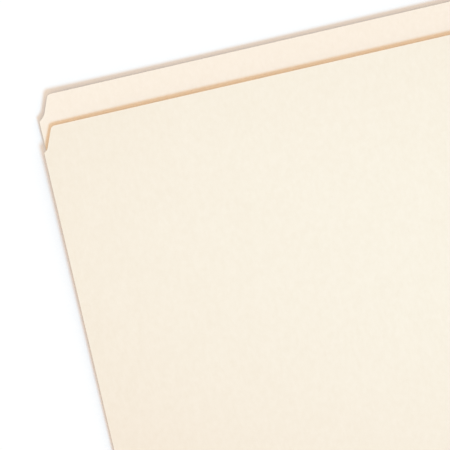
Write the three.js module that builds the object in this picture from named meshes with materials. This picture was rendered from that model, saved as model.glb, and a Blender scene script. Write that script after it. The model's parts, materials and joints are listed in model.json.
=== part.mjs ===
// A top tab file folder: one sheet of manila board, die cut, scored and folded once.
// Millimetres, +Z up. It lies on its back leaf, as on a desk: the fold runs along X,
// the full-width tab points to +Y, and the front leaf is on top.
import * as THREE from "three";

// The sheet
const WIDTH = 298.45; // side edge to side edge
const BACK_HEIGHT = 241.3; // outside of the fold to the top of the tab
const FRONT_HEIGHT = 228.6; // outside of the fold to the top of the front leaf
const BOARD = 0.28; // thickness of the board

// The main fold
const FOLD_INSIDE_R = 0.5; // inside of the bend, half the gap it leaves between the leaves
const COVER_LIFT = 1.65; // how much higher the springy fold holds the front leaf's top edge

// The score lines beside the fold, which let the base open out square
const SCORE_COUNT = 3;
const SCORE_PITCH = 6.35; // fold to first score, and score to score
const SCORE_BEAD_R = 0.25; // the ridge that the scoring rule raises
const BEND_CLEARANCE = 0.3; // from a bend to the flat board beside it

// The cut at both ends of each top edge: a step in and up, a knee, and a slanted end
const TAB_DEPTH = 9.7; // top edge down to where the cut leaves the side edge
const TAB_CORNER_R = 2.0; // round between the slanted end and the top edge
const STEP_SLOPE = 0.73; // how far the step rises for each millimetre that it runs in
const BACK_STEP = 2.25; // how far in the step runs
const BACK_KNEE = 1.6; // how far the round at the knee reaches to either side
const BACK_INSET = 5.5; // side edge in to where the slanted end would meet the top edge
const FRONT_STEP = 1.5;
const FRONT_KNEE = 0.6;
const FRONT_INSET = 5.1;

// How finely round stretches are drawn
const CORNER_STEPS = 6;
const BEND_STEPS = 12;

const FOLD_OUTSIDE_R = FOLD_INSIDE_R + BOARD;
const FOLD_REACH = FOLD_OUTSIDE_R + BEND_CLEARANCE; // fold axis to the flat board
const SCORE_REACH = SCORE_BEAD_R + BEND_CLEARANCE; // score axis to the flat board

const board = new THREE.MeshStandardMaterial({
  color: 0xf9eede,
  roughness: 0.85,
  metalness: 0,
});
const creasedBoard = new THREE.MeshStandardMaterial({
  color: 0xfff3e3,
  roughness: 0.92,
  metalness: 0,
});

// The distance of a score line from the outside of the fold; the first is number 1.
function scoreLine(number) {
  return number * SCORE_PITCH;
}

// The right-hand end of a top edge, as points from the side edge up to the top edge.
function tabEnd(height, step, kneeReach, inset) {
  const side = WIDTH / 2;
  const foot = new THREE.Vector2(side, height - TAB_DEPTH);
  const knee = new THREE.Vector2(side - step, foot.y + step * STEP_SLOPE);
  const tip = new THREE.Vector2(side - inset, height);
  const along = tip.clone().sub(knee).normalize();
  const back = foot.clone().sub(knee).normalize();

  // The knee is rounded over as much of the slanted end as of the step below it.
  const kneeStart = knee.clone().addScaledVector(back, kneeReach);
  const kneeEnd = knee.clone().addScaledVector(along, kneeReach);

  // The corner's arc touches the slanted end and the top edge.
  const lean = Math.atan2(-along.x, along.y);
  const tangent = TAB_CORNER_R * Math.tan((Math.PI / 2 - lean) / 2);
  const arcStart = tip.clone().addScaledVector(along, -tangent);
  const centre = new THREE.Vector2(tip.x - tangent, height - TAB_CORNER_R);

  const cut = new THREE.Path();
  cut.moveTo(foot.x, foot.y);
  cut.lineTo(kneeStart.x, kneeStart.y);
  cut.quadraticCurveTo(knee.x, knee.y, kneeEnd.x, kneeEnd.y);
  cut.lineTo(arcStart.x, arcStart.y);
  cut.absarc(centre.x, centre.y, TAB_CORNER_R, lean, Math.PI / 2, false);
  return cut.getPoints(CORNER_STEPS);
}

// A leaf is a rectangle from its start line up, with the same cut at both ends of its top edge.
function leaf(start, cutEnd) {
  const right = [new THREE.Vector2(WIDTH / 2, start), ...cutEnd];
  const left = right.map((point) => new THREE.Vector2(-point.x, point.y)).reverse();
  const outline = new THREE.Shape([...right, ...left]);
  return new THREE.ExtrudeGeometry(outline, { depth: BOARD, bevelEnabled: false });
}

// A flat strip of board between two lines that run along the fold.
function strip(start, end) {
  const geometry = new THREE.BoxGeometry(WIDTH, end - start, BOARD);
  return geometry.translate(0, (start + end) / 2, BOARD / 2);
}

// The main fold is half a tube, open towards +Y, drawn in the YZ plane round its own axis.
// Both ends of the bend run on flat for a short way, towards the leaves that they join.
function foldBend() {
  const section = new THREE.Shape();
  section.absarc(0, 0, FOLD_OUTSIDE_R, Math.PI / 2, 1.5 * Math.PI, false);
  section.lineTo(BEND_CLEARANCE, -FOLD_OUTSIDE_R);
  section.lineTo(BEND_CLEARANCE, -FOLD_INSIDE_R);
  section.absarc(0, 0, FOLD_INSIDE_R, 1.5 * Math.PI, Math.PI / 2, true);
  section.lineTo(BEND_CLEARANCE, FOLD_INSIDE_R);
  section.lineTo(BEND_CLEARANCE, FOLD_OUTSIDE_R);
  const geometry = new THREE.ExtrudeGeometry(section, {
    depth: WIDTH,
    bevelEnabled: false,
    curveSegments: BEND_STEPS / 2,
  });
  const alongX = new THREE.Matrix4().makeBasis(
    new THREE.Vector3(0, 1, 0),
    new THREE.Vector3(0, 0, 1),
    new THREE.Vector3(1, 0, 0),
  );
  return geometry.translate(0, 0, -WIDTH / 2).applyMatrix4(alongX);
}

// A score is a slender ridge in the middle of the board's thickness.
function scoreBead(line) {
  const geometry = new THREE.CylinderGeometry(SCORE_BEAD_R, SCORE_BEAD_R, WIDTH, BEND_STEPS);
  return geometry.rotateZ(Math.PI / 2).translate(0, line, BOARD / 2);
}

function piece(name, geometry, material) {
  const mesh = new THREE.Mesh(geometry, material);
  mesh.name = name;
  return mesh;
}

// The sheet's back half: the leaf that carries the tab, flat on the desk.
const backEnd = tabEnd(BACK_HEIGHT, BACK_STEP, BACK_KNEE, BACK_INSET);
const backHalf = new THREE.Group();
backHalf.add(piece("back_leaf", leaf(FOLD_OUTSIDE_R + FOLD_REACH, backEnd), board));

// The front half lies on the inside of the fold, its lines counted from the fold's outside.
const frontHalf = new THREE.Group();
frontHalf.position.set(0, -FOLD_OUTSIDE_R, FOLD_INSIDE_R);
for (let number = 1; number <= SCORE_COUNT; number += 1) {
  const start = number === 1 ? FOLD_OUTSIDE_R + FOLD_REACH : scoreLine(number - 1) + SCORE_REACH;
  const end = scoreLine(number) - SCORE_REACH;
  frontHalf.add(piece(`expansion_strip_${number}`, strip(start, end), board));
  frontHalf.add(piece(`score_crease_${number}`, scoreBead(scoreLine(number)), creasedBoard));
}
const frontEnd = tabEnd(FRONT_HEIGHT, FRONT_STEP, FRONT_KNEE, FRONT_INSET);
const frontLeaf = leaf(scoreLine(SCORE_COUNT) + SCORE_REACH, frontEnd);
frontHalf.add(piece("front_leaf", frontLeaf, board));

// The front half springs up a little, turned about the fold's axis.
const sprung = new THREE.Group();
sprung.rotation.x = Math.asin(COVER_LIFT / FRONT_HEIGHT);
sprung.add(frontHalf);

const fold = new THREE.Group();
fold.position.set(0, FOLD_OUTSIDE_R, FOLD_OUTSIDE_R);
fold.add(piece("main_fold", foldBend(), creasedBoard));
fold.add(sprung);

// The origin is the middle of the rectangle that the folder covers, on the desk.
const folder = new THREE.Group();
folder.position.y = -BACK_HEIGHT / 2;
folder.add(backHalf);
folder.add(fold);

export default folder;
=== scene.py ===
# %% [markdown]
# # A top tab file folder
# The real thing is one sheet of cream manila board, cut out with a steel knife, pressed with score
# lines and folded once. Nothing is glued or riveted to it, so all that can be shown is the board:
# how it curls, how its edges are cut, and how its fibres look. We start with the frame, the packed
# CAD model, because every piece below takes its place and its measures from there.

# %% Load the frame
import json
import math

import bpy
import numpy as np
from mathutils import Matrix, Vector


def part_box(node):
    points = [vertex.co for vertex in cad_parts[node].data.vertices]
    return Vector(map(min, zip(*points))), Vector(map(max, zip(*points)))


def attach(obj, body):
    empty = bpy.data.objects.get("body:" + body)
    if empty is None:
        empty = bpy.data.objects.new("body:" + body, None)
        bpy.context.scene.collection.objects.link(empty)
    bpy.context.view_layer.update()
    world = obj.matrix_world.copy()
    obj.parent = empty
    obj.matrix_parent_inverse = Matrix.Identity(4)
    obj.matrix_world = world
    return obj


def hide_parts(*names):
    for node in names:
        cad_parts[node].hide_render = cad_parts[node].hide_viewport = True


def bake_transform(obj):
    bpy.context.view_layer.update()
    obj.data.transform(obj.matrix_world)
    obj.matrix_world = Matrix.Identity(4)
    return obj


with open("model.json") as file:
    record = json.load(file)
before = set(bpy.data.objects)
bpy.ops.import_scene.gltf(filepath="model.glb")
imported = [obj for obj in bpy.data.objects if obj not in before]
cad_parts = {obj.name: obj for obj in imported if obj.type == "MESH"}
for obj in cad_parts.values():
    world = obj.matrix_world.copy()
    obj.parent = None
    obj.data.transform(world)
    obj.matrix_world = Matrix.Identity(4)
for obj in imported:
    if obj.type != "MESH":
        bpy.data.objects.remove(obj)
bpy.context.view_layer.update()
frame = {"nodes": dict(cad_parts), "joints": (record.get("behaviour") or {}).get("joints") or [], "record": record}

print("nodes", sorted(frame["nodes"]))

# %% [markdown]
# ## Measures
# The board is little more than a quarter of a millimetre thick, and the sheet is 300 mm wide, so it
# is easiest to think in millimetres and to turn the finished points into metres. The measures could
# be typed in again, but then they could drift away from the CAD model, so as many as possible are
# read from it. The box of a node gives the width and the thickness. The joint gives the line that
# the cover turns about, and the normal of the cover's mount gives the small angle at which the
# springy fold holds it open.

# %% Measures from the frame
MM = 0.001

back_low, back_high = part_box("back_leaf")
WIDTH = (back_high.x - back_low.x) / MM
BOARD = (back_high.z - back_low.z) / MM
TAB_TOP = back_high.y / MM

opening = next(joint for joint in frame["joints"] if joint["name"] == "cover_opening")
FOLD_Y = opening["pos_m"][1] / MM
FOLD_Z = opening["pos_m"][2] / MM

cover_mount = next(mount for mount in frame["record"]["mounts"] if mount["name"] == "cover_face")
COVER_LEAN = math.atan2(-cover_mount["axis"][1], cover_mount["axis"][2])

FOLD_OUTSIDE_R = FOLD_Z
FOLD_INSIDE_R = FOLD_OUTSIDE_R - BOARD
FOLD_OUTSIDE_Y = FOLD_Y - FOLD_OUTSIDE_R
BACK_HEIGHT = TAB_TOP - FOLD_OUTSIDE_Y
print(f"sheet {WIDTH:.2f} mm wide, board {BOARD:.2f} mm, back half {BACK_HEIGHT:.2f} mm tall")
print(f"cover leans {math.degrees(COVER_LEAN):.3f} degrees about y {FOLD_Y:.2f}, z {FOLD_Z:.2f} mm")

# %% [markdown]
# ## The camera
# The photograph was taken from straight above, with the folder turned 13 degrees, and close enough
# that only its upper left corner is in the picture. A long lens half a metre away gives the same
# picture: the raised front leaf is only a pixel or so larger than the one under it. Turning the
# camera about its own axis is simpler than turning the folder, which has to stay in the frame.

# %% Camera
VIEW_CENTRE = (-87.3, 55.0)
VIEW_HEIGHT = 493.0
VIEW_TURN = math.radians(-13.02)
LENS = 100
SENSOR = 36
NEAREST = 10
FURTHEST = 20000

camera = bpy.data.objects.new("camera", bpy.data.cameras.new("camera"))
camera.data.lens = LENS
camera.data.sensor_width = SENSOR
camera.data.clip_start = NEAREST * MM
camera.data.clip_end = FURTHEST * MM
camera.location = Vector((*VIEW_CENTRE, VIEW_HEIGHT)) * MM
camera.rotation_euler = (0, 0, VIEW_TURN)

scene = bpy.context.scene
scene.collection.objects.link(camera)
scene.camera = camera
print("the picture is", round(VIEW_HEIGHT * SENSOR / LENS, 1), "mm wide at the desk")

# %% [markdown]
# ## Writing finishes as sums
# A finish is easier to read as a sum than as a web of nodes. `Value` wraps one output of a node, and
# adding, subtracting or multiplying it adds a Math node. The reflected forms are there too, so
# `1 - mask` works.

# %% A number in a finish
class Value:
    """A number on its way through a finish."""

    def __init__(self, finish, socket):
        self.finish = finish
        self.socket = socket

    def maths(self, operation, first, second):
        return self.finish.node("ShaderNodeMath", {"operation": operation}, {0: first, 1: second})

    def __add__(self, other):
        return self.maths("ADD", self, other)

    def __radd__(self, other):
        return self.maths("ADD", other, self)

    def __sub__(self, other):
        return self.maths("SUBTRACT", self, other)

    def __rsub__(self, other):
        return self.maths("SUBTRACT", other, self)

    def __mul__(self, other):
        return self.maths("MULTIPLY", self, other)

    def __rmul__(self, other):
        return self.maths("MULTIPLY", other, self)


# %% [markdown]
# Every other node comes from `Finish.node`, which takes the node's type, its settings, and the
# numbers or links for its sockets. Colours don't go through Math nodes, which would turn them grey,
# but through Mix nodes. A Mix node has a set of sockets for each kind of data, all with the same
# names, so those for colours are picked by their numbers.

# %% A finish
MIX_SHARE = 0
MIX_FIRST = 6
MIX_SECOND = 7
MIX_RESULT = 2


class Finish:
    """A material, or the world, that is being made node by node."""

    def __init__(self, owner):
        self.owner = owner
        self.owner.use_nodes = True
        self.tree = self.owner.node_tree
        self.tree.nodes.clear()

    def node(self, kind, settings, sockets, output=0):
        """Adds a node: first its settings, then the value or link of each socket."""
        made = self.tree.nodes.new(kind)
        for name, setting in settings.items():
            setattr(made, name, setting)
        for name, value in sockets.items():
            if isinstance(value, Value):
                self.tree.links.new(value.socket, made.inputs[name])
            else:
                made.inputs[name].default_value = value
        return Value(self, made.outputs[output])

    def blend(self, share, first, second):
        """A colour between two others."""
        settings = {"data_type": "RGBA", "clamp_factor": True}
        sockets = {MIX_SHARE: share, MIX_FIRST: first, MIX_SECOND: second}
        return self.node("ShaderNodeMix", settings, sockets, MIX_RESULT)

    def end(self, surface, kind="ShaderNodeOutputMaterial"):
        """Joins the surface to an output node, and hands over what has been made."""
        output = self.tree.nodes.new(kind)
        self.tree.links.new(surface.socket, output.inputs["Surface"])
        print("finish", self.owner.name, "has", len(self.tree.nodes), "nodes")
        return self.owner


# %% [markdown]
# ## The desk
# The folder lies on a plain white ground. A white plane would do for it, but it would send so much
# light back that the shadows filled up. The ground under a product shot sends back less, and is lit
# until it looks white. So to the light our desk is a dark grey, and to the camera it has a colour
# that is a little warm and a glow that is a little cool. In the open the two add up to white. In the
# shadow the colour fades and the glow stays, so the desk's shadows come out greyer than the board's
# own, as they do in the photograph. The desk is a hair under the folder, so that the two never share
# a plane.

# %% The desk
DESK_SIZE = 6000
DESK_DROP = 0.03
DESK_BOUNCE = (0.35, 0.35, 0.35, 1)
DESK_SEEN = (1.0, 0.96, 0.90, 1)
DESK_GLOW = (0.026, 0.069, 0.128, 1)


def seen_rays(finish):
    """1 for the rays that show a thing to the camera, straight or by way of gloss or glass."""
    camera_ray = finish.node("ShaderNodeLightPath", {}, {}, "Is Camera Ray")
    glossy_ray = finish.node("ShaderNodeLightPath", {}, {}, "Is Glossy Ray")
    clear_ray = finish.node("ShaderNodeLightPath", {}, {}, "Is Transmission Ray")
    return camera_ray + glossy_ray + clear_ray


def desk_finish():
    """White ground, which looks brighter to the camera than it is to the light."""
    finish = Finish(bpy.data.materials.new("white_desk"))
    seen = seen_rays(finish)
    colour = finish.blend(seen, DESK_BOUNCE, DESK_SEEN)
    ground = finish.node("ShaderNodeBsdfDiffuse", {}, {"Color": colour})
    glow = finish.node("ShaderNodeEmission", {}, {"Color": DESK_GLOW, "Strength": seen})
    return finish.end(finish.node("ShaderNodeAddShader", {}, {0: ground, 1: glow}))


desk_sides = (-DESK_SIZE / 2 * MM, DESK_SIZE / 2 * MM)
desk_corners = [(x, y, -DESK_DROP * MM) for x in desk_sides for y in desk_sides]
desk_mesh = bpy.data.meshes.new("desk")
desk_mesh.from_pydata(desk_corners, [], [(0, 2, 3, 1)])
desk_mesh.materials.append(desk_finish())
desk = bpy.data.objects.new("desk", desk_mesh)
scene.collection.objects.link(desk)

# %% [markdown]
# ## The light
# In the photograph every shadow falls up and to the left, a little further than the board stands up,
# and its edge is soft. So there is one wide lamp, far off to the lower right and 37 degrees up, and
# a surround that gives the rest of the light. An area lamp could be the softbox, but its light would
# fall off across the desk. A sun lamp with a disc of 17 degrees gives shadows as soft, and is
# equally strong everywhere.
#
# The shadows on the board are orange and those on the desk a warm mauve, so the surround is warmer
# than the lamp. The two colours add up to plain white on a flat sheet, where white comes out as
# white and a colour as it was written.

# %% The lamp
SURROUND = (0.870, 0.700, 0.530)
LAMP_WIDTH = math.radians(17)
LAMP_TOWARDS = Vector((0.55, -1.2, 1.0)).normalized()

lamp_data = bpy.data.lights.new("softbox", "SUN")
lamp_data.angle = LAMP_WIDTH
lamp_data.color = [1 - part for part in SURROUND]
lamp_data.energy = math.pi / LAMP_TOWARDS.z
lamp = bpy.data.objects.new("softbox", lamp_data)
lamp.location = LAMP_TOWARDS
lamp.rotation_euler = LAMP_TOWARDS.to_track_quat("Z", "Y").to_euler()
scene.collection.objects.link(lamp)
print(f"lamp strength {lamp_data.energy:.2f}, {math.degrees(math.asin(LAMP_TOWARDS.z)):.0f} degrees up")

# %% [markdown]
# Beyond the desk the camera sees plain white. Pale board hands light on many times in the narrow gap
# under the cover, so more bounces are followed than Blender's usual four. The Standard view
# transform leaves colours as they are written.

# %% The surround
WHITE = (1, 1, 1, 1)
BOUNCES = 12

surround = Finish(bpy.data.worlds.new("surround"))
shown = surround.blend(seen_rays(surround), (*SURROUND, 1), WHITE)
background = surround.node("ShaderNodeBackground", {}, {"Color": shown})
scene.world = surround.end(background, "ShaderNodeOutputWorld")
scene.cycles.diffuse_bounces = BOUNCES
scene.view_settings.view_transform = "Standard"

# %% [markdown]
# ## The board's tones
# The two faces of a sheet aren't quite one colour: the inner face is pinker. The outer face carries
# painted shade: its middle is palest, and its colour darkens a little towards the edges, standing in
# for light that falls off across the sheet. Where a scoring rule has crushed the board, its fibres
# are loose and look paler. Along the cut edges the board is painted paler too, partly for fibres that
# the knife crushed and partly as a painted highlight along the edge. These changes could be painted
# on an image, but the meshes are laid out in rows and columns anyway, so they carry them as numbers
# at each point: `inside`, `painted_falloff`, `rim` and `bend`.

# %% Tones of the board
PALE = (0.955, 0.893, 0.763)
FALLOFF_SHADE = (0.920, 0.815, 0.681)
INNER = (0.972, 0.860, 0.728)


def shade(colour, by):
    """A colour with each part multiplied, and an alpha for the sockets."""
    return (*(part * factor for part, factor in zip(colour, by)), 1)


def carried(finish, name):
    """A number that the mesh carries at each of its points."""
    return finish.node("ShaderNodeAttribute", {"attribute_name": name}, {}, "Fac")


def board_tone(finish, by):
    """The colour of either face, each part multiplied by a factor."""
    # Away from its palest spot, the outer face blends into painted shade.
    outer = finish.blend(carried(finish, "painted_falloff"), shade(PALE, by), shade(FALLOFF_SHADE, by))
    return finish.blend(carried(finish, "inside"), outer, shade(INNER, by))


print("the board's outer face is", PALE, "to", FALLOFF_SHADE, "and its inner face", INNER)

# %% [markdown]
# ## Manila board
# Manila is pale buff pulp board. Close to, it is a felt of fibres that mostly lie along the sheet's
# height, the way the paper machine ran. From further off they close up into flocks of two or three
# millimetres and a faint cloudiness. A picture of board could be wrapped round the sheet, but it
# blurs from close by and repeats from far off. So each layer is noise in the board's own
# millimetres. `detail` says how many times finer grains are added, and `roughness` how strong they
# are.

# %% Grain of the board
CLOUD = {"across": 11.0, "along": 17.0, "detail": 2.0, "roughness": 0.5}
FLOCKS = {"across": 1.8, "along": 2.8, "detail": 2.0, "roughness": 0.5}
PULP = {"across": 0.9, "along": 1.7, "detail": 3.0, "roughness": 0.6}
FIBRE = {"across": 0.06, "along": 1.0, "detail": 2.0, "roughness": 0.6}
CRACKS = {"across": 1.6, "along": 0.09, "detail": 3.0, "roughness": 0.7}
NOISE_MIDDLE = 0.5


def grains(finish, across, along, detail, roughness):
    """Noise with grains of this many millimetres across and along the sheet's height."""
    place = finish.node("ShaderNodeTexCoord", {}, {}, "Object")
    density = (1 / (across * MM), 1 / (along * MM), 1 / (across * MM))
    stretched = finish.node("ShaderNodeMapping", {}, {"Vector": place, "Scale": density})
    sockets = {"Vector": stretched, "Scale": 1.0, "Detail": detail, "Roughness": roughness}
    return finish.node("ShaderNodeTexNoise", {}, sockets)


def sway(noise, share):
    """How far a noise strays from its middle value, times its share."""
    return (noise - NOISE_MIDDLE) * share


print("the fibres are", FIBRE["across"], "mm thick and about", FIBRE["along"], "mm long")

# %% [markdown]
# The layers add up to a tone between thin and thick felt. Two colours that are blended keep the
# board's warmth better than one colour made lighter or darker, because thick felt is a little bluer
# as well as paler.

# %% Felt
THIN = (0.978, 0.972, 0.960)
THICK = (1.018, 1.026, 1.038)
CLOUD_SHARE = 0.35
FLOCKS_SHARE = 1.2
PULP_SHARE = 0.7
FIBRE_SHARE = 0.8


def felt_colour(finish, pulp, fibre):
    """The colour of the board, as thin or thick as its layers of grain make it."""
    coarse = sway(grains(finish, **CLOUD), CLOUD_SHARE) + sway(grains(finish, **FLOCKS), FLOCKS_SHARE)
    tone = NOISE_MIDDLE + coarse + sway(pulp, PULP_SHARE) + sway(fibre, FIBRE_SHARE)
    return finish.blend(tone, board_tone(finish, THIN), board_tone(finish, THICK))


print("thin felt is", THIN, "times the board's tone, and thick felt", THICK)

# %% [markdown]
# The pulp and the fibres also give the board its tooth, a relief of a fiftieth of a millimetre. It
# would take millions of points in the mesh, so it is left to a Bump node. The board is matt, and a
# little more so where its pulp is thick or its fibres have been crushed.

# %% Manila board
# The cut edges are painted paler: partly for fibres crushed by the knife, partly as a painted highlight along the
# edge. Creases are paler for crushed fibre only.
CRUSH_AND_HIGHLIGHT_TONE = (1.020, 1.015, 1.020)
RIM_CRUSH_AND_HIGHLIGHT = 0.7
BEND_CRUSHED = 0.6
PULP_RELIEF = 0.6
FIBRE_RELIEF = 0.4
RELIEF = {"Strength": 0.6, "Distance": 0.02 * MM}
MATTNESS = 0.66
PULP_MATTNESS = 0.2
BEND_MATTNESS = 0.1
GLOSS = 0.35


def board_finish(name, crack_depth=0):
    """The board's finish. Where the board is creased, it also cracks along the bend."""
    finish = Finish(bpy.data.materials.new(name))
    pulp = grains(finish, **PULP)
    fibre = grains(finish, **FIBRE)
    rim = carried(finish, "rim")
    bend = carried(finish, "bend")
    # Paler where the mesh carries a rim or a bend: a bend is crushed fibre, and a rim is crushed fibre with a
    # painted highlight along the edge.
    crush_and_highlight = rim * RIM_CRUSH_AND_HIGHLIGHT + bend * BEND_CRUSHED
    height = pulp * PULP_RELIEF + fibre * FIBRE_RELIEF
    if crack_depth:
        height = height + grains(finish, **CRACKS) * bend * crack_depth
    sockets = {
        "Base Color": finish.blend(crush_and_highlight, felt_colour(finish, pulp, fibre), shade(PALE, CRUSH_AND_HIGHLIGHT_TONE)),
        "Roughness": MATTNESS + sway(pulp, PULP_MATTNESS) + bend * BEND_MATTNESS,
        "Specular IOR Level": GLOSS,
        "Normal": finish.node("ShaderNodeBump", {}, {**RELIEF, "Height": height}),
    }
    return finish.end(finish.node("ShaderNodeBsdfPrincipled", {}, sockets))


manila_board = board_finish("manila_board")

# %% [markdown]
# ## Creased board
# The main fold and the score lines are the same board after a steel rule has been pressed into it.
# Its fibres are broken across in many short cracks that run along the bend. A separate finish could
# be made for it, but then the two might not match where they meet. So it is the same sum, with
# cracks added to the relief wherever the mesh carries a `bend`.

# %% Creased board
CRACK_DEPTH = 2.5

creased_board = board_finish("creased_board", CRACK_DEPTH)

# %% [markdown]
# ## The cut at the end of a top edge
# Both leaves are cut much alike at their top corners. Seen from the side edge, the knife steps in
# and up, turns at a knee into a slanted line, and rounds over into the top edge. The back leaf's
# knee is the softer of the two. A Boolean modifier could cut this out of a rectangle, but it leaves
# long thin faces that shade badly. So the cut is worked out first, and the mesh is built along it.
# Only the right end is needed, as points of distance from the middle and height above the fold,
# because the left end mirrors it.

# %% The tab's end
TAB_DEPTH = 9.7
TAB_CORNER_R = 2.0
STEP_SLOPE = 0.73
BACK_CUT = {"step": 2.25, "knee_reach": 1.6, "inset": 5.5}
FRONT_CUT = {"step": 1.5, "knee_reach": 0.6, "inset": 5.1}
STEP_POINTS = 3
KNEE_POINTS = 9
SLANT_POINTS = 5
CORNER_POINTS = 14


def between(first, last, count):
    """Points on a straight line, with its last one left out."""
    return first + (last - first) * np.linspace(0, 1, count + 1)[:-1, None]


def tab_end(top, step, knee_reach, inset):
    """Points from where the cut leaves the side edge to where it has become the top edge."""
    side = WIDTH / 2
    foot = np.array([side, top - TAB_DEPTH])
    knee = foot + [-step, step * STEP_SLOPE]
    tip = np.array([side - inset, top])
    along = (tip - knee) / np.linalg.norm(tip - knee)
    knee_start = knee + knee_reach * (foot - knee) / np.linalg.norm(foot - knee)
    knee_end = knee + knee_reach * along
    way = np.linspace(0, 1, KNEE_POINTS)[:-1, None]
    rounded_knee = (1 - way) ** 2 * knee_start + 2 * way * (1 - way) * knee + way**2 * knee_end

    lean = math.atan2(-along[0], along[1])
    tangent = TAB_CORNER_R * math.tan((math.pi / 2 - lean) / 2)
    centre = np.array([tip[0] - tangent, top - TAB_CORNER_R])
    turn = np.linspace(lean, math.pi / 2, CORNER_POINTS)
    corner = centre + TAB_CORNER_R * np.stack([np.cos(turn), np.sin(turn)], axis=1)

    step_line = between(foot, knee_start, STEP_POINTS)
    slant = between(knee_end, corner[0], SLANT_POINTS)
    return np.concatenate([step_line, rounded_knee, slant, corner])


print("a tab end has", len(tab_end(BACK_HEIGHT, **BACK_CUT)), "points")

# %% [markdown]
# ## Rows and columns on the sheet
# A leaf is laid out as rows that run from side edge to side edge, and columns that run up the sheet.
# The rows follow the tab's end, so each row is as wide as the leaf is at that height. An even grid
# would need millions of points to show how the board is rounded over at its cut edges. So rows and
# columns crowd together there, a hundredth of a millimetre apart, and open out to three millimetres
# in the middle, enough for a gentle curl.

# %% Rows and columns
EDGE_STEPS = np.array([0, 0.012, 0.035, 0.07, 0.16, 0.3, 0.5, 0.8, 1.3, 2.0])
SEAM_STEPS = np.array([0, 0.15, 0.35, 0.7, 1.3, 2.2])
OPEN_PITCH = 3.0
OPEN_MARGIN = 3.2
OPEN_COLUMNS = 2 * round((WIDTH / 2 - OPEN_MARGIN) / OPEN_PITCH) + 1


def columns(half_widths):
    """Places from side to side, one row of them for each half width."""
    half = np.asarray(half_widths, float)[:, None]
    left = -half + EDGE_STEPS
    middle = (half - OPEN_MARGIN) * np.linspace(-1, 1, OPEN_COLUMNS)
    return np.concatenate([left, middle, -left[:, ::-1]], axis=1)


def leaf_rows(start, cut):
    """Heights of a leaf's rows above the fold, and the leaf's half width at each of them."""
    near_foot = cut[0, 1] - EDGE_STEPS[:0:-1]
    low = start + SEAM_STEPS
    open_rows = np.linspace(low[-1], near_foot[0], round((near_foot[0] - low[-1]) / OPEN_PITCH) + 1)
    plain = np.concatenate([low, open_rows[1:-1], near_foot])
    heights = np.concatenate([plain, cut[:, 1]])
    half_widths = np.concatenate([np.full(len(plain), WIDTH / 2), cut[:, 0]])
    return heights, half_widths


def along_rows(values, across):
    """One number for each row, given to every point of the row."""
    return np.repeat(values[:, None], across.shape[1], axis=1)


print("each row has", len(columns([WIDTH / 2])[0]), "points")

# %% [markdown]
# Each point also has to know how far it is from the nearest cut. A cut is a chain of straight lines,
# so that is the shortest of its distances to them. The side edge is taken to run on below the fold,
# so that a leaf's lowest rows don't see an end to it.

# %% Distance from the cut
BELOW_FOLD = -10.0


def from_cut(across, heights, cut):
    """How far each point is from the nearest cut edge of a leaf, all in millimetres."""
    corners = np.concatenate([[[WIDTH / 2, BELOW_FOLD]], cut, [[0.0, cut[-1, 1]]]])
    points = np.stack([np.abs(across), heights], axis=-1)
    nearest = np.full(across.shape, np.inf)
    for first, last in zip(corners[:-1], corners[1:]):
        along = last - first
        share = np.clip(((points - first) @ along) / (along @ along), 0, 1)
        gap = points - first - share[..., None] * along
        nearest = np.minimum(nearest, np.linalg.norm(gap, axis=-1))
    return nearest


def sheet_grid(start, cut):
    """Places across, heights and distances to the cut, for each point of a leaf."""
    heights, half_widths = leaf_rows(start, cut)
    across = columns(half_widths)
    heights = along_rows(heights, across)
    return across, heights, from_cut(across, heights, cut)


middle_gap = from_cut(np.zeros(1), np.array([BACK_HEIGHT / 2]), tab_end(BACK_HEIGHT, **BACK_CUT))
print(f"the middle of the back leaf is {middle_gap[0]:.2f} mm from its nearest cut")

# %% [markdown]
# ## Giving the sheet its thickness
# Every piece is a grid of points in the middle of the board, each with the direction in which the
# board faces there and its distance to the nearest cut. The Solidify modifier could give the grid a
# thickness, but the same one everywhere. Near a cut the two faces of real board draw together along
# a small arc, the arris that the knife leaves, and the border stands up by a few hundredths of a
# millimetre. So both faces are placed here, point by point.

# %% Thickness at a cut
ARRIS_R = 0.07
RIM_WIDTH = 0.5
LIP = 0.018
LIP_RAMP = 30.0


def half_thickness(edge):
    """Half the board's thickness at a distance from the cut."""
    inwards = np.clip(edge, 0, ARRIS_R)
    return BOARD / 2 - ARRIS_R + np.sqrt(ARRIS_R**2 - (ARRIS_R - inwards) ** 2)


def nearness(distance, reach):
    """1 at a line, falling smoothly to 0 at its reach."""
    return np.clip(1 - distance / reach, 0, 1) ** 2


def lip(edge, heights):
    """How far the cut edge stands up. It dies out towards the fold, where the sheet is bent."""
    return LIP * nearness(edge, RIM_WIDTH) * np.clip(heights / LIP_RAMP, 0, 1)


print(f"the board is {2 * half_thickness(0.0):.2f} mm thick at a cut and {BOARD:.2f} mm elsewhere")

# %% [markdown]
# The faces go between neighbouring points, anticlockwise as seen from outside. Two walls close the
# side edges, and two more close the first and the last row. Where such a row is a seam, at which one
# piece of the sheet meets the next, its wall stays square and its edges are marked sharp. Smooth
# shading would lean into the wall there, and draw a line across the sheet.

# %% Faces of a piece
def tiles(points, turned):
    """Four-sided faces over a grid of point numbers, turned over for the face that looks away."""
    corners = [points[:-1, :-1], points[:-1, 1:], points[1:, 1:], points[1:, :-1]]
    if turned:
        corners = [corners[0], corners[3], corners[2], corners[1]]
    return np.stack(corners, axis=-1).reshape(-1, 4)


def wall(edge_points, other_points):
    """Four-sided faces between two rows of point numbers."""
    return np.stack([edge_points[:-1], edge_points[1:], other_points[1:], other_points[:-1]], axis=1)


def sharpen(mesh, first, count):
    """Marks every edge of a run of faces as sharp."""
    for polygon in mesh.polygons[first : first + count]:
        for corner in polygon.loop_indices:
            mesh.edges[mesh.loops[corner].edge_index].use_edge_sharp = True


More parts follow.
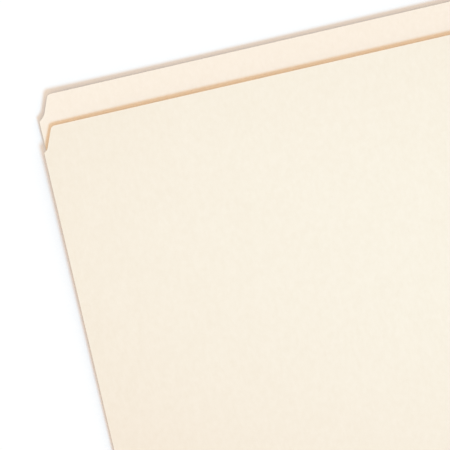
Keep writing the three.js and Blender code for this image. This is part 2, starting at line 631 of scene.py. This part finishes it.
def carry(mesh, name, towards, away):
    """Stores a number at each point: a grid for the face towards the facing, and one for the other."""
    attribute = mesh.attributes.new(name, "FLOAT", "POINT")
    attribute.data.foreach_set("value", np.concatenate([towards.ravel(), away.ravel()]))


print("a grid of 3 by 4 points makes", len(tiles(np.arange(12).reshape(3, 4), False)), "faces")

# %% [markdown]
# Blender's own grid and extrude tools could make such a slab too, but its points would then have to
# be found again to give them their numbers. Here the mesh is made from its points and faces at once,
# so each number goes to its own point.

# %% Board from a grid of points
def lay_board(name, middle, facing, edge, half, marks, material):
    """A closed piece of board from grids of middle points, facings and distances to the cut.

    The marks are grids for bend, inside and toned, the outer face's painted shade: one for both faces, or a pair
    of them."""
    offset = facing * half[..., None]
    points = np.concatenate([(middle + offset).reshape(-1, 3), (middle - offset).reshape(-1, 3)]) * MM
    front = np.arange(edge.size).reshape(edge.shape)
    rear = front + edge.size
    sides = [wall(front[:, 0], rear[:, 0]), wall(rear[:, -1], front[:, -1])]
    plain = np.concatenate([tiles(front, False), tiles(rear, True), *sides])
    ends = [wall(rear[0], front[0]), wall(front[-1], rear[-1])]

    mesh = bpy.data.meshes.new(name)
    mesh.from_pydata(points.tolist(), [], np.concatenate([plain, *ends]).tolist())
    mesh.shade_smooth()
    for number, row in enumerate((edge[0], edge[-1])):
        if row.max() > ARRIS_R:
            sharpen(mesh, len(plain) + number * len(ends[0]), len(ends[0]))
    # The rim mark paints the cut edges paler, partly for crushed fibre and partly as a painted highlight along the
    # edge.
    for mark, grids in {"rim": nearness(edge, RIM_WIDTH), **marks}.items():
        towards, away = grids if isinstance(grids, tuple) else (grids, grids)
        carry(mesh, mark, towards, away)
    mesh.materials.append(material)
    piece = bpy.data.objects.new(name, mesh)
    scene.collection.objects.link(piece)
    print(name, "has", len(mesh.vertices), "points")
    return piece


# %% [markdown]
# ## How a leaf swells, and its painted shade
# No board is dead flat, so a very shallow wave goes over both leaves. A Displace modifier could
# raise it, but a product of two sines can be made to die out towards the fold, where the pieces have
# to meet. It only ever rises, because the leaf lies on the desk. The outer face also carries painted
# shade: its colour darkens in an oval round its palest spot, standing in for light that falls off
# across the sheet. The spot lies where the photograph has it.

# %% Swell and painted shade
WAVE = 0.05
WAVE_ACROSS = 29
WAVE_ALONG = 37
WAVE_OFFSETS = (0.6, 1.1)
WAVE_RAMP = 45
# The outer face's painted shade: palest at this spot, darker outwards in a leaning oval, as if light fell off
# across the sheet.
BRIGHTEST_SPOT = (14.0, 155.0)
BRIGHTEST_SPOT_DRIFT = 0.22
FALLOFF_REACH = (150.0, 90.0)
FALLOFF_SPAN = 2.0


def wave(across, heights):
    """A shallow swell, from 0 to twice the wave's height, that dies out towards the fold."""
    sideways = np.sin(across / WAVE_ACROSS + WAVE_OFFSETS[0])
    upwards = np.sin(heights / WAVE_ALONG + WAVE_OFFSETS[1])
    return WAVE * (1 + sideways * upwards) * np.clip(heights / WAVE_RAMP, 0, 1) ** 2


def painted_falloff_share(across, heights):
    """How much painted shade the outer face gets, out of the palest spot, which is a leaning oval."""
    aside = (across - BRIGHTEST_SPOT[0]) / FALLOFF_REACH[0]
    along = (heights - BRIGHTEST_SPOT[1] + BRIGHTEST_SPOT_DRIFT * across) / FALLOFF_REACH[1]
    return np.clip((aside**2 + along**2) / FALLOFF_SPAN, 0, 1)


print(f"the swell is at most {2 * WAVE:.2f} mm high")

# %% [markdown]
# ## The back leaf
# This is the leaf that carries the tab. It lies on the desk, but board that was rolled and die cut
# never lies dead flat: towards the tab it curls up by a millimetre or so, and a little more at the
# corners, and that is what throws the grey line of shadow along its top edge. A cloth simulation
# could be left to find the curl, but stiff board simply takes an even bend, so the curl is a
# parabola over the top third of the leaf, and comes out the same each time.

# %% Back leaf
LEAF_START = FOLD_OUTSIDE_R + (back_low.y / MM - FOLD_Y)
BEND_REACH = 1.1
CURL_HEIGHT = 1.55
CURL_LENGTH = 80.0
CORNER_CURL = 0.4
CORNER_POWER = 6

across, heights, edge = sheet_grid(LEAF_START, tab_end(BACK_HEIGHT, **BACK_CUT))
past_start = np.clip((heights - (BACK_HEIGHT - CURL_LENGTH)) / CURL_LENGTH, 0, 1)
curl = (CURL_HEIGHT + CORNER_CURL * (across / (WIDTH / 2)) ** CORNER_POWER) * past_start**2
lift = curl + wave(across, heights) + lip(edge, heights)
slope = 2 * CURL_HEIGHT / CURL_LENGTH * past_start
facing = np.stack([np.zeros_like(slope), -slope, np.ones_like(slope)], axis=-1)
facing /= np.linalg.norm(facing, axis=-1, keepdims=True)
middle = np.stack([across, heights + FOLD_OUTSIDE_Y, BOARD / 2 + lift], axis=-1)

none = np.zeros_like(edge)
marks = {
    "bend": nearness(heights - FOLD_OUTSIDE_R, BEND_REACH),
    "inside": (none + 1, none),
    "painted_falloff": (none, painted_falloff_share(across, heights)),
}
back_board = lay_board("back_board", middle, facing, edge, half_thickness(edge), marks, manila_board)
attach(back_board, "back")
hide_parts("back_leaf")
print(f"the tab's edge stands up to {curl.max():.2f} mm above the desk, at its corners")

# %% [markdown]
# ## The cover
# The front leaf, the strips beside the fold and the score lines between them turn together, so they
# ride on one body, the cover. They could be modelled where they lie, at a slant, but it is easier to
# lay them out flat, as height along the board, and height above the board's inner face. `on_cover`
# then leans them about the fold's line, as the frame says. The sheet was cut and folded a hair off
# square, so the cover's side edges creep to the left towards the top, and the step between the two
# top edges is a little deeper at its right end.

# %% Placing board on the cover
TAB_SHOWN = 12.7
FRONT_HEIGHT = BACK_HEIGHT - TAB_SHOWN
SIDE_CREEP = 0.8
TOP_SKEW = 0.0020
SKEW_CENTRE = -65.0


def on_cover(across, heights, rise):
    """Points of the frame, in millimetres, from places on the flat cover."""
    share = heights / FRONT_HEIGHT
    out = heights - FOLD_OUTSIDE_R - TOP_SKEW * (across - SKEW_CENTRE) * share
    up = FOLD_INSIDE_R + rise
    x = across - SIDE_CREEP * share
    y = FOLD_Y + out * math.cos(COVER_LEAN) - up * math.sin(COVER_LEAN)
    z = FOLD_Z + out * math.sin(COVER_LEAN) + up * math.cos(COVER_LEAN)
    return np.stack([x, y, z], axis=-1)


def cover_facing(shape):
    """The direction in which the cover's outer face looks, once for each point."""
    return np.broadcast_to([0.0, -math.sin(COVER_LEAN), math.cos(COVER_LEAN)], (*shape, 3))


print(f"the cover is {FRONT_HEIGHT:.2f} mm tall and creeps {SIDE_CREEP} mm to the left")

# %% [markdown]
# The cover's board is crushed beside the fold and beside each score line, so all its pieces carry a
# `bend` that is strongest there. Its outer face looks up, where the back leaf's looks down.

# %% What the cover carries
SCORE_PITCH = 6.35
SCORE_COUNT = 3
SCORE_REACH = 0.55
SCORE_LINES = [SCORE_PITCH * number for number in range(1, SCORE_COUNT + 1)]


def cover_marks(across, heights):
    """The numbers for each point of the cover, as grids."""
    lines = [FOLD_OUTSIDE_R, *SCORE_LINES]
    nearest = np.min([np.abs(heights - line) for line in lines], axis=0)
    none = np.zeros_like(across)
    return {
        "bend": nearness(nearest, BEND_REACH),
        "inside": (none, none + 1),
        "painted_falloff": (painted_falloff_share(across, heights), none),
    }


print("score lines", [round(line, 2) for line in SCORE_LINES], "mm from the outside of the fold")

# %% [markdown]
# ## The front leaf
# The front leaf is half an inch shorter, which leaves the tab showing. A copy of the back leaf
# could be scaled to fit, but that would squash the cut at its ends. So it is laid out as the back
# leaf is, from the last score line up. It stays flat but for the same shallow swell, turned inwards
# so that the open cover still lies on the desk.

# %% Front leaf
front_start = SCORE_LINES[-1] + SCORE_REACH
across, heights, edge = sheet_grid(front_start, tab_end(FRONT_HEIGHT, **FRONT_CUT))
rise = BOARD / 2 - wave(-across, heights) + lip(edge, heights)

front_board = lay_board(
    "front_board",
    on_cover(across, heights, rise),
    cover_facing(edge.shape),
    edge,
    half_thickness(edge),
    cover_marks(across, heights),
    manila_board,
)
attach(front_board, "cover")
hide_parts("front_leaf")

# %% [markdown]
# ## Expansion strips and score lines
# Beside the fold the cover is pressed with three score lines, a quarter of an inch apart. When the
# folder fills up, it is creased at one of them instead, and its base opens out square. Each score is
# a low rounded ridge on the outer face with a groove behind it, where the rule went in. Bump in the
# finish could draw it, but the ridge also shows in the outline of the side edges, so it is in the
# mesh. The strips between the scores are plain board. Strips and scores are both bands across the
# whole cover, so one helper makes them.

# %% A band of the cover
def cover_band(name, heights, rise, thinning, material):
    """A band of the cover that runs from side edge to side edge."""
    across = columns(np.full(len(heights), WIDTH / 2))
    edge = WIDTH / 2 - np.abs(across)
    heights = along_rows(heights, across)
    rise = BOARD / 2 + rise[:, None] + lip(edge, heights)
    band = lay_board(
        name,
        on_cover(across, heights, rise),
        cover_facing(edge.shape),
        edge,
        half_thickness(edge) - thinning[:, None],
        cover_marks(across, heights),
        material,
    )
    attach(band, "cover")
    return band


print(f"each band is {WIDTH:.2f} mm long")

# %% [markdown]
# A strip is flat, and needs rows close together only where it meets its neighbours. So it takes the
# same steps as a leaf does at its seam, from either side, but for the last and widest. A ridge has
# its rows evenly spaced, because it is round all the way over. The board is a little thinner on top
# of it, where the rule has pressed hardest.

# %% Strips and scores
RIDGE_RISE = 0.12
RIDGE_THINNING = 0.03
RIDGE_ROWS = 17

over = np.linspace(-1, 1, RIDGE_ROWS)
hump = np.cos(over * math.pi / 2) ** 2
strip_starts = [LEAF_START] + [line + SCORE_REACH for line in SCORE_LINES[:-1]]
for number, (low, line) in enumerate(zip(strip_starts, SCORE_LINES), start=1):
    high = line - SCORE_REACH
    strip_rows = np.concatenate([low + SEAM_STEPS[:-1], high - SEAM_STEPS[-2::-1]])
    level = np.zeros(len(strip_rows))
    strip = cover_band(f"strip_board_{number}", strip_rows, level, level, manila_board)
    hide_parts(f"expansion_strip_{number}")

    ridge_rows = line + over * SCORE_REACH
    ridge = cover_band(
        f"score_ridge_{number}", ridge_rows, RIDGE_RISE * hump, RIDGE_THINNING * hump, creased_board
    )
    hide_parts(f"score_crease_{number}")

# %% [markdown]
# ## The main fold
# The fold is the one place where the sheet really bends. Its section is half a circle with a short
# flat at each end, where it meets the back leaf and the first strip. A Simple Deform modifier could
# bend a flat strip into it, but its ends have to meet the other pieces exactly, so the section is
# drawn point by point. The back's end of it lies flat and the cover's end leans with the cover, and
# each point in between leans by its own share.

# %% Section of the fold
BEND_ROWS = 25
FLAT_ROWS = np.array([1.0, 0.7, 0.4, 0.15])

middle_r = (FOLD_OUTSIDE_R + FOLD_INSIDE_R) / 2
flat_out = FLAT_ROWS * (LEAF_START - FOLD_OUTSIDE_R)
turn = np.linspace(-math.pi / 2, math.pi / 2, BEND_ROWS)
lower = np.stack([flat_out, np.full_like(flat_out, -middle_r)], axis=1)
arc = middle_r * np.stack([-np.cos(turn), np.sin(turn)], axis=1)
upper = np.stack([flat_out[::-1], np.full_like(flat_out, middle_r)], axis=1)
section = np.concatenate([lower, arc, upper])
looks = np.concatenate([lower * [0, 1], arc, upper * [0, 1]]) / middle_r
share_of_lean = np.concatenate([np.zeros(len(lower)), turn / math.pi + 0.5, np.ones(len(upper))])
lean = share_of_lean * COVER_LEAN


def leaned(vectors):
    """Section vectors turned about the fold's line, each by its own share of the lean."""
    y = vectors[:, 0] * np.cos(lean) - vectors[:, 1] * np.sin(lean)
    z = vectors[:, 0] * np.sin(lean) + vectors[:, 1] * np.cos(lean)
    return np.stack([y, z], axis=1)


print("the fold's section has", len(section), "points")

# %% [markdown]
# At the bend the board is pressed a little thinner, and its cut ends draw in.

# %% Main fold
BEND_THINNING = 0.03
BEND_INSET = 0.06

pinch = np.concatenate([np.zeros(len(lower)), np.cos(turn) ** 2, np.zeros(len(upper))])
half_widths = WIDTH / 2 - BEND_INSET * pinch
across = columns(half_widths)
edge = half_widths[:, None] - np.abs(across)
half = half_thickness(edge) - BEND_THINNING * pinch[:, None]
none = np.zeros_like(across)
fold_y, fold_z = (leaned(section) + [FOLD_Y, FOLD_Z]).T
middle = np.stack([across, along_rows(fold_y, across), along_rows(fold_z, across)], axis=-1)
facing_y, facing_z = leaned(looks).T
facing = np.stack([none, along_rows(facing_y, across), along_rows(facing_z, across)], axis=-1)
from_axis = along_rows(section[:, 0], across)
marks = {
    "bend": nearness(from_axis.clip(0), BEND_REACH),
    "inside": (none, none + 1),
    "painted_falloff": (painted_falloff_share(across, FOLD_OUTSIDE_R + from_axis), none),
}
fold_board = lay_board("fold_board", middle, facing, edge, half, marks, creased_board)
FOLD_Y * MM
(FOLD_Z - FOLD_INSIDE_R) * MM
FOLD_Y * MM
(FOLD_Z + FOLD_INSIDE_R) * MM
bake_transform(fold_board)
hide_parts("main_fold")
